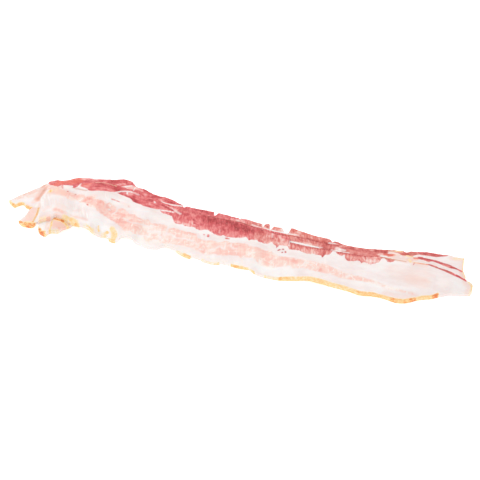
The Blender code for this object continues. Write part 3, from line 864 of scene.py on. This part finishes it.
front_meat = Meat(
    muscle_edge=[
        (-137, 40), (-114.6, 40), (-114.2, 19), (-111, 17), (-107.3, 15.3), (-106.4, 14),
        (-103, 12.9), (-98, 13.4), (-92, 14.8), (-88, 16.4), (-84, 16), (-78, 15), (-75, 12.7),
        (-70, 11.7), (-66.5, 9.9), (-62, 9.8), (-57.6, 10.6), (-55, 8.6), (-54, 7.3), (-51, 6.9),
        (-47, 5.8), (-45, 2.5), (-43.5, 0), (-41.5, -1.9), (-38, -1.7), (-35.5, -3), (-30, -3),
        (-26, -5.3), (-24, -5), (-21.5, -3.2), (-17.5, -5.2), (-14, -6.8), (-10.5, -7.8),
        (-9, -6.7), (-6, -8), (-2, -7.5), (2, -6.6), (4.8, -5.1), (8.4, -8.5), (9.6, -7.3),
        (11.3, -8.2), (12.4, -7.2), (15, -9), (17.5, -9), (20.5, -8.2), (22, -5.8), (24.4, -8.8),
        (25.6, -9.2), (26.8, -11.6), (27.6, -8.2), (32.8, -7.7), (34.6, -10.5), (40, -10.3),
        (46, -12.2), (48.5, -12.4), (49.2, -11.6), (55.2, -12.3), (56.2, -14.2), (57.4, -11),
        (60, -9.6), (61.2, -5.3), (62.8, -5.3), (64, -7.3), (67.2, -9.2), (69.2, -7.4),
        (70, -10.8), (73, -13.2), (77, -12), (79.4, -11.5), (80.8, -13.4), (82, -12),
        (85.5, -13.2), (88.6, -12), (91.2, -9.4), (92, -5), (94, -5.4), (96.3, -8.1), (99.4, -7),
        (100.4, -4), (101, 2), (110.6, 2), (111.6, -4.5), (119.2, -4.6), (123, -5.8), (129, -8.2),
        (135, -12), (139, -13.4), (143, -13.9), (145.2, -14.2), (146.4, -12.6), (150, -10),
    ],
    muscle_bits=[
        (0.5, (-124.3, 13.8), (-122.8, 10.8)), (0.55, (-118.6, 8.7)), (0.5, (-113.4, 8.6)),
        (0.5, (-101.6, -1.3), (-101, -2)), (0.45, (-88.4, 9.2), (-86.5, 9.5), (-83.5, 9.3)),
        (0.5, (-21.3, -9.2)), (0.7, (-18.4, -9), (-18, -10.2)), (0.75, (-6.4, -9.4), (-4.6, -9.5)),
        (0.6, (28.2, -13.8), (28.8, -12.6)), (0.55, (31.1, -11.6)), (0.45, (31.2, -15.2)),
        (0.42, (33, -13.8), (33.3, -14.5)), (0.3, (111.9, -7), (112.2, -5)),
    ],
    gristle=[
        (0.55, (-88.8, 15.6), (-85.6, 19.4), (-83.2, 20.9), (-79.2, 21.9)),
        (0.45, (-81.8, 20.6), (-81.2, 18.6)), (0.4, (-62.2, 17.4), (-61.5, 16.6)),
        (0.6, (-56.8, 10.3), (-50, 10.3), (-47, 10.1)),
        (0.4, (-49.6, 13.7), (-47.4, 13), (-45.8, 10.6)), (0.5, (136.8, -9.6), (138.6, -11.1)),
    ],
    streak_top=[
        (-119.5, 6.5), (-117, 9), (-108, 9.4), (-105.5, 7), (-100, 7.9), (-97.5, 5), (-92, 4.7),
        (-90.5, 3.6), (-88, 6), (-83.6, 3.6), (-82.3, 2.5), (-79, 3.8), (-75.5, 1.8), (-73, -0.4),
        (-70, -0.8), (-66, -3.8), (-62.5, -4.4), (-60, -2.6), (-57, -5.3), (-52, -4.7),
        (-46.5, -5.4), (-45, -8.6), (-42.5, -7), (-36, -8.3), (-25.8, -9.8), (-23.5, -14),
        (-18, -14.8), (-14, -13.6), (-11, -14.8), (-5, -12.2), (-1.8, -13.3), (3, -11.8),
        (8, -12.9), (9.5, -14.6), (17, -15.2), (21, -16.2), (23.5, -15.5), (28, -18.4),
        (33, -19.4), (38, -18.8), (58, -19.8), (66, -22.6), (74, -24.6), (82, -25.3), (90, -26.5),
        (97, -27.9), (104, -30.2), (116, -31),
    ],
    streak_foot=[
        (-119.5, 6), (-116.5, 1.6), (-114, 1.3), (-111.5, 3.6), (-107, 1.5), (-104.5, 0.8),
        (-99.5, -3.5), (-95.5, -3.8), (-93, -6), (-87.5, -7.3), (-81.5, -9.9), (-75.5, -12.8),
        (-71, -17.1), (-68.3, -16.4), (-65, -17.8), (-59.5, -16.5), (-57, -19.7), (-55, -20.7),
        (-48, -18.6), (-46.5, -20.5), (-31, -20.9), (-20, -23.7), (-14.5, -25.6), (-11, -24.2),
        (-4.5, -24.6), (-2, -23.6), (5, -22.8), (7, -24.5), (15.5, -24.6), (20, -28.2),
        (27, -28.7), (34, -26.8), (38, -25.6), (40, -26.8), (47, -25.7), (58, -26.8), (65, -27),
        (70.5, -28.7), (78, -29), (84, -28.6), (95, -30.2), (103, -31.8), (116, -31.8),
    ],
    streak_bits=[(1.6, (-119, -12.4), (-114, -13))],
    seams=[
        (0.3, (-90.6, 2.5), (-90.3, 0)), (1.0, (-87, -0.5)),
        (0.5, (-82.8, 4), (-82.2, 0), (-83.6, -3.4)),
        (0.45, (-75.6, -5.2), (-73, -6.6), (-71.5, -9.2), (-68, -10.3), (-62, -9.4)),
        (0.8, (-61.4, -9.2), (-58.5, -9.3)), (0.6, (-57, -13.1), (-54, -12.9)),
        (0.35, (-54, -12.9), (-49.4, -13.2), (-47.4, -17.2)), (0.6, (-48, -15.8), (-47.2, -17.6)),
        (0.4, (-46, -5.8), (-45.2, -9), (-44.7, -13.2)),
        (0.5, (-44.6, -13.4), (-41.6, -13.6), (-37.6, -15.6)),
        (0.3, (-37.6, -15.6), (-31, -15.6), (-26.5, -16.6), (-23, -18.2)),
        (0.4, (-22.6, -18.4), (-21.8, -19.6)), (0.4, (-20.2, -21.8), (-18, -22.2)),
        (0.6, (-14, -21.2), (-11.5, -20.4)), (0.35, (-11.5, -20.4), (-8.5, -18), (-4.8, -19.3)),
        (0.35, (-5.4, -13.4), (-4.9, -19.2)),
        (0.35, (-1.9, -13.6), (-1.2, -17), (0.6, -18.2), (3, -17.9)), (0.7, (26.4, -24)),
        (0.3, (47, -22.6), (47.8, -25)),
    ],
    fringe=[
        (-137, 0.15), (-100, 0.2), (-60, 0.35), (-45, 0.8), (0, 0.9), (60, 0.9), (90, 1.0),
        (100, 0.5), (120, 0.25), (150, 0.25),
    ],
    shades=[
        # broad tones
        (10, 0.22, (-130, -2), (-108, -8)), (9, 0.1, (-100, -6), (-84, -10)),
        (6, 0.25, (-98, -14), (-50, -26), (0, -30), (40, -31)),
        (5, 0.2, (-92, 10), (-60, 3), (-20, -7)), (8, -0.07, (-88, -4), (-72, -10)),
        (9, 0.08, (-62, -8), (-46, -16)), (6, 0.08, (-20, -18), (15, -20)),
        (9, 0.1, (15, -22), (60, -24), (100, -30)), (13, 0.18, (22, -2), (60, -10), (100, -12)),
        (4, 0.06, (62, -24), (80, -27)), (4, -0.1, (72, -14), (98, -11)),
        (4, 0.15, (90, -29), (116, -31.4)), (4, -0.08, (126, -22.6), (135, -24.4)),
        (7, 0.2, (134, -21), (144, -19)),
        # muscle, from the left
        (3.5, 0.1, (-112.5, 19.3), (-109, 18.5)),
        (2.4, 0.12, (-107.5, 16), (-100, 14.6), (-91, 16.6)),
        (4.6, -0.13, (-104, 22), (-96, 21.5), (-86, 21.5)), (3, -0.08, (-103, 18), (-97, 17.5)),
        (2, 0.15, (-86, 21.4), (-76, 21)), (2.2, 0.25, (-83.5, 18.6), (-79, 19.6)),
        (2.4, -0.2, (-78, 16.6), (-74.5, 14), (-71.5, 13)), (2, 0.1, (-71, 19), (-69, 16)),
        (2.2, -0.2, (-68.5, 18), (-66.8, 14.5)), (2.2, 0.14, (-66, 14), (-58, 12), (-52, 10.4)),
        (2, -0.25, (-66, 18.8), (-64, 17.8)), (1.2, 0.2, (-64.8, 15.4), (-64, 12.8)),
        (1.5, 0.3, (-62.5, 17.2), (-61, 16)), (2, -0.12, (-60, 17), (-57, 16)),
        (1.2, -0.45, (-56.4, 16.4), (-52, 14), (-47.6, 12)), (1.6, 0.25, (-54.6, 8.4), (-50, 7.6)),
        (1.2, 0.35, (-54, 16.2), (-49, 14.8)), (1.6, 0.15, (-50, 14.8), (-45.5, 14)),
        (2.2, -0.18, (-44, 13), (-41, 10), (-37, 10.2)), (4.5, 0.1, (-41, 1), (-33, 1), (-25, -3)),
        (2, 0.15, (-38, 5), (-36, 0)), (2, 0.12, (-36, 12), (-33, 9)),
        (2.4, 0.25, (-33, 3), (-29, 0.6)), (1, -0.4, (-32.5, 6), (-31, 4), (-30.4, 1.6)),
        (0.9, -0.35, (-30.5, 1.6), (-28, 0.7)), (1.2, 0.2, (-28.5, 7.5), (-27.5, 3)),
        (6.5, -0.25, (-26, 9), (-14, 8), (-4, 6), (3, 4.6)), (3, -0.12, (-21.5, 7.5), (-18, 5.5)),
        (4, 0.16, (-20, -3), (-12, -6), (0, -6), (12, -7), (20, -7)),
        (1.2, -0.3, (-11.6, 2.5), (-10.6, -1)), (4, -0.15, (-7, 8), (-3, 6), (1, 6)),
        (1.6, 0.25, (-6.5, 10.6), (-1, 10), (3.5, 8.2)), (3, -0.12, (-3, 3), (8, 1)),
        (2, -0.1, (5, 5), (9, 1)), (1.5, -0.12, (13, 2), (13.5, -1)),
        (2.2, -0.25, (13, 3), (18, 2.2)), (2.5, 0.08, (16, 2.5), (19, 2)),
        (1.2, -0.3, (21.6, 1), (22.2, -1.5)), (1.3, -0.25, (23.2, 1.4), (23.6, 0)),
        (3, 0.22, (24, -6), (31, -6.5)), (1.2, 0.15, (25.5, 3), (26, 0)),
        (1.3, -0.2, (27, 1.2), (30, 0.5)), (3, 0.12, (28, -3), (31.5, -3)),
        (1.6, -0.25, (33, -4.4), (46, -5.2), (56, -5.4)),
        (2.5, 0.1, (40, -9), (47, -9.5), (54, -10)), (1, 0.3, (48.8, -6), (49, -11)),
        (1.2, -0.35, (56.2, -7.2), (56.9, -9.6), (56.2, -13.2)),
        (1.5, -0.2, (63.5, -6.2), (68.5, -6.2)), (1.6, -0.2, (71, -6.2), (79, -6.5)),
        (2.6, 0.08, (72, -10.5), (77, -10)), (1.1, -0.3, (81.8, -6.5), (82.8, -8.6)),
        (3, 0.35, (83.5, -8), (85.3, -11)), (3, 0.32, (87.5, -6.5), (89.5, -10)),
        (1.4, -0.25, (94.5, -4.6), (99, -4.8)),
        (1.2, -0.15, (121, -4.4), (127, -6.6), (135, -10.4), (137, -12)),
        (1.3, -0.35, (139.5, -12.2), (142, -12.6)),
        # painted shadow: the thin dark line where the cut edge lies on the slice below
        (0.9, -0.25, (-44, 14.5), (-20, 11.3), (-3, 10.7)),
        (0.9, -0.5, (-3, 10.7), (13, 5.1), (22, 4), (31.5, 3.2)),
        (0.9, -0.4, (33, -3), (60, -5), (82, -5.5), (90, -3.5), (100, -4)),
        # the specks in the fat
        (0.9, -0.5, (28.2, -13.8), (28.8, -12.6)), (0.9, -0.5, (31.1, -11.6)),
        (0.8, -0.5, (31.2, -15.2)), (0.8, -0.5, (33, -14)),
        # streak, from the left
        (3.4, -0.3, (-104, 4), (-99, 1.4), (-94, -1)),
        (2.6, -0.17, (-95, -1), (-93, -3.4), (-88.5, -4.4), (-84.5, -7.4), (-79.5, -9),
         (-75, -11.6)),
        (4, -0.14, (-94, 4), (-86, 2)), (3.5, -0.12, (-78, -3), (-77, -8)),
        (2.5, -0.12, (-70.5, -15.6), (-71.5, -12)), (2.2, -0.1, (-64.5, -7), (-64, -9)),
        (7, 0.14, (-55, -9), (-50, -16), (-36, -18), (-28, -17)),
        (1.6, -0.2, (-43.4, -9), (-43.6, -11.6)), (1.4, -0.2, (-41.6, -8)),
        (1.4, -0.2, (-26.8, -11)), (1.6, -0.2, (-3.2, -14.6)), (3, -0.12, (1, -14.4), (4, -16)),
        (3.4, -0.2, (21, -19), (24, -18)), (3, -0.15, (37.5, -22), (41, -22.5)),
        (1.8, -0.25, (57.4, -25), (59, -25.6)), (1.6, -0.25, (71, -26.6), (73.5, -26)),
        (1.8, -0.2, (77, -27.6), (81, -26.4)), (1.5, -0.2, (97.5, -29.6), (99, -30.2)),
    ],
    along=[
        (9, 1, (-114, 19), (-84, 18)), (6, 0.7, (-80, 18), (-60, 14)),
        (3, 0.8, (-56, 13), (-47, 12)), (3, 1, (119, -4), (127, -6), (148, -15)),
    ],
    wrinkle=[
        (5, 1, (-131, 2), (-127, -8)), (5, 0.6, (-124, -4), (-112, -3)),
        (5, 0.9, (-105, -6), (-99, -12)), (4, 0.8, (-95, 12), (-90, 8)),
        (4, 1, (-92, -19), (-84, -20)), (3, 0.6, (-80, -17), (-77, -22)),
        (3, 0.4, (-20, -26), (10, -28)),
    ],
    dried=[
        (0.9, 0.6, (-44, 14.4), (-20, 11.2), (-3, 10.6), (13, 5), (22, 3.9), (31.4, 3.1)),
        (8, 0.35, (14, -2), (35, -7), (60, -9), (97, -7)), (3, 0.5, (119, -4), (135, -11)),
    ],
    peach=[
        # the left end, the rind there, and the warm places further along
        (1, 0.8, (-129, -20), (-125, -19.8), (-121, -19)),
        (2.5, 0.25, (-129, -18.6), (-121, -18.6)),
        (5, 0.7, (-129, 7.6), (-124.5, 6.4), (-119.5, 6)),
        (2.6, 0.2, (-126.5, -12), (-124, -10.4)), (2.2, 0.5, (-126, 11), (-123.5, 12.5)),
        (3.6, 0.35, (-119, -12.4), (-113.5, -13)), (3, 0.2, (-119, -8), (-114, -8.4)),
        (1.2, 0.4, (-118, -16.6), (-112, -16.6)),
        (1, 0.5, (-113.6, 20.2), (-108, 21.8), (-104, 22.5)),
        (4, 0.35, (-113, 19.4), (-109, 19.6)),
        (1, 0.4, (-109, -12), (-107.5, -12.8), (-103, -14.4), (-97, -15)),
        (1.2, 0.25, (-109, -7), (-105.5, -6.4), (-104.5, -8.4)), (3, 0.2, (-104, 6.5), (-99.5, 7)),
        (2, 0.25, (-82, 9), (-77, 8.4), (-76, 7)), (4, 0.2, (100, -36), (110, -37), (117, -33)),
        (2.4, 0.25, (101, -4.6), (107.5, -5)), (9, 0.16, (102, -16), (112, -17.4), (119, -17)),
        (3, 0.25, (112, -6), (119, -6)), (1.4, 0.8, (112, -4.3), (120, -4.3)),
        (6, 0.2, (113, -21.4), (121, -22.4)), (3.6, 0.3, (145.6, -15), (148.6, -17), (148, -21)),
    ],
    smoke=[
        # the rind: faint at the left, and amber from the middle on
        (1.6, 0.85, (-131, 8.3), (-129.6, 6.6)), (2.4, 0.3, (-129, -19.4), (-124.6, -19)),
        (2, 0.2, (-127, 9), (-126, 7)), (3, 0.4, (-111.5, -16.4), (-107.5, -15.6), (-104, -17.4)),
        (1.2, 0.3, (-107.6, -14.4), (-107.8, -16.4)), (1.3, 0.5, (-106.5, -19), (-101.5, -19.2)),
        (0.8, 0.35, (-104, 22.6), (-90, 22.7)), (2.5, 0.22, (-97, -18.8), (-93, -20.6)),
        (1.6, 0.12, (-94.8, -19.4), (-91, -21)), (2.6, 0.18, (-91, -19.4), (-84, -20.6)),
        (0.8, 0.36, (-89.2, -15.8), (-88.4, -18), (-87.8, -19)),
        (2.6, 0.08, (-83.4, -19.6), (-80.6, -21.6)), (1.4, 0.4, (-82.6, -18.4), (-82, -18.6)),
        (2.7, 0.44, (-80.2, -15.2), (-78, -17.8), (-77, -20.8), (-77, -22)),
        (1.3, 0.34, (-80, -23.4), (-76, -24.4)),
        (4, 0.11, (-74, -19), (-60, -20.5), (-46, -21.6), (-30, -25)),
        (1.4, 0.2, (-38, -24.4), (-31, -26.6)), (1.2, 0.5, (-29, -26.8), (-25, -28)),
        (3, 0.11, (-20, -27), (10, -30)),
        (1.5, 0.24, (-17, -29.4), (-14, -30.6), (-9, -31.2), (-6, -30.4)),
        (0.9, 0.5, (2.6, -30), (6, -30.5), (12.4, -32.2), (14, -32.8), (18, -34.6)),
        (1.2, 0.12, (18, -34.4), (25, -35.5)),
        (1.4, 0.26, (25.5, -35.7), (29, -35.9), (34, -35.6)),
        (1.7, 0.53, (35, -35.3), (42, -33.7), (52, -32), (58, -32.4), (66, -33.8), (74, -34.6),
         (80, -35.9), (84, -36.9), (88, -36.9), (92, -36.3), (100, -37.2), (107, -39), (112, -38),
         (117, -35.2), (121, -32.4), (127.4, -29.8), (128.8, -29)),
        (0.8, 0.25, (91.4, -3.6), (100, -4.5), (107, -4.8)),
        (2.5, 0.2, (105, -38.6), (113, -37.6), (116, -35)),
        (0.8, 0.3, (111.6, -4), (116, -3.6), (120, -4)), (1.2, 0.5, (115.6, -36), (117.6, -34.6)),
        (1.3, 0.9, (128.6, -29.2), (130.2, -27.6)), (2.2, 0.34, (147.4, -13), (149.8, -15)),
        (2.4, 0.07, (149, -18), (148.4, -21.4)),
        (1.1, 0.12, (149.4, -14), (149.8, -17), (148.6, -21.6)),
        (2.4, 0.14, (149.8, -15.6), (149.6, -18)),
    ],
    pale=[
        # bright fat at the left end, and threads of it in the muscle
        (2.2, 0.6, (-122, 12.8), (-117, 12.4)), (1.1, 0.9, (-115.6, 15.8), (-114, 18.6)),
        (1.2, 0.5, (-114, 16.8), (-110, 16)), (1.4, 0.45, (-79, 22.2), (-74.6, 21.4)),
        (1.4, 0.55, (-46.8, 12.8), (-45.2, 11.2), (-42.4, 9.6)), (1.6, 0.5, (-24, -7), (-21, -13)),
        (1.2, 0.5, (-18.8, -12), (-17.8, -13)), (1, 0.2, (-12.6, -1.8), (-12.6, -4.6)),
        (0.7, 0.5, (20.2, 3.6), (21.3, -0.6)), (1.6, 0.5, (28, -9), (29, -11)),
        (0.6, 0.5, (32.5, -1), (33.4, -7)), (0.9, 0.6, (57.7, -11.5), (58.3, -15), (59.4, -19)),
        (0.6, 0.5, (83.2, -7.6), (83.4, -10.4)), (0.7, 0.7, (85.6, -8.5), (85.9, -10.8)),
        (0.6, 0.6, (88, -7.6), (88.6, -10.6)),
    ],
    dim=[
        (1, 0.6, (-117.2, 14.8), (-114, 14.9), (-110, 14.1), (-107.4, 13.8)),
        (0.8, 0.5, (-113.4, 8.6)), (0.6, 0.35, (-76.8, 7.6), (-76.2, 6.8)),
        (0.7, 0.8, (91.4, -3.8), (100, -4.7), (107, -5)),
    ],
)
front = lay_slice(FRONT, [BACK, MIDDLE])
drawn_on(front, [BACK, MIDDLE], front_meat)
front.data.materials.append(pork_material("pork_front", (-30, 150, 0)))
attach(front, "root")
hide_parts("rasher_front")


# ---------------------------------------------------------------------------------------------
# The table and the studio: a white table top that is lit from below as light tables are, an even
# white surround, and one large soft lamp above and to the left.

TABLE_SIDE, TABLE_DROP = 6.0, 0.2 * MM  # the top lies a hair under the meat
TABLE_WHITE, TABLE_GLOW = (0.9, 0.9, 0.9, 1), 0.55
PURE_WHITE = (1, 1, 1, 1)
SURROUND_STRENGTH = 0.9
LAMP_PLACE, LAMP_SIDE, LAMP_WATTS = (-0.5, 0.35, 1.3), 1.2, 8.0
AZIMUTH, ELEVATION = math.radians(15), math.radians(35)  # the camera's, as the photo shows
VIEW_DISTANCE, LENS, SENSOR = 0.95, 112.2, 36
AIM = Vector((-PLAN_CENTRE[0] * MM, -PLAN_CENTRE[1] * MM, 0.0))

bpy.ops.object.select_all(action="DESELECT")
bpy.ops.mesh.primitive_plane_add(size=TABLE_SIDE, location=(0, 0, -TABLE_DROP))
table_top = bpy.context.object
table_top.name = "table_top"
white = bpy.data.materials.new("table_white")
white.use_nodes = True
white_face = white.node_tree.nodes["Principled BSDF"]
white_face.inputs["Base Color"].default_value = TABLE_WHITE
white_face.inputs["Roughness"].default_value = 0.9
white_face.inputs["Emission Color"].default_value = PURE_WHITE
white_face.inputs["Emission Strength"].default_value = TABLE_GLOW
table_top.data.materials.append(white)

surround = bpy.data.worlds.new("surround")
surround.use_nodes = True
surround.node_tree.nodes["Background"].inputs["Color"].default_value = PURE_WHITE
surround.node_tree.nodes["Background"].inputs["Strength"].default_value = SURROUND_STRENGTH
bpy.context.scene.world = surround

bpy.ops.object.light_add(type="AREA", location=LAMP_PLACE)
lamp = bpy.context.object
lamp.name = "soft_lamp"
lamp.data.shape = "SQUARE"
lamp.data.size = LAMP_SIDE
lamp.data.energy = LAMP_WATTS
lamp.rotation_mode = "QUATERNION"
lamp.rotation_quaternion = lamp.location.to_track_quat("Z", "Y")

away = Vector((math.sin(AZIMUTH) * math.cos(ELEVATION), -math.cos(AZIMUTH) * math.cos(ELEVATION),
               math.sin(ELEVATION)))
bpy.ops.object.camera_add(location=AIM + VIEW_DISTANCE * away)
camera = bpy.context.object
camera.rotation_mode = "QUATERNION"
camera.rotation_quaternion = away.to_track_quat("Z", "Y")
camera.data.lens = LENS
camera.data.sensor_width = SENSOR
bpy.context.scene.camera = camera
bpy.context.scene.view_settings.view_transform = "Standard"
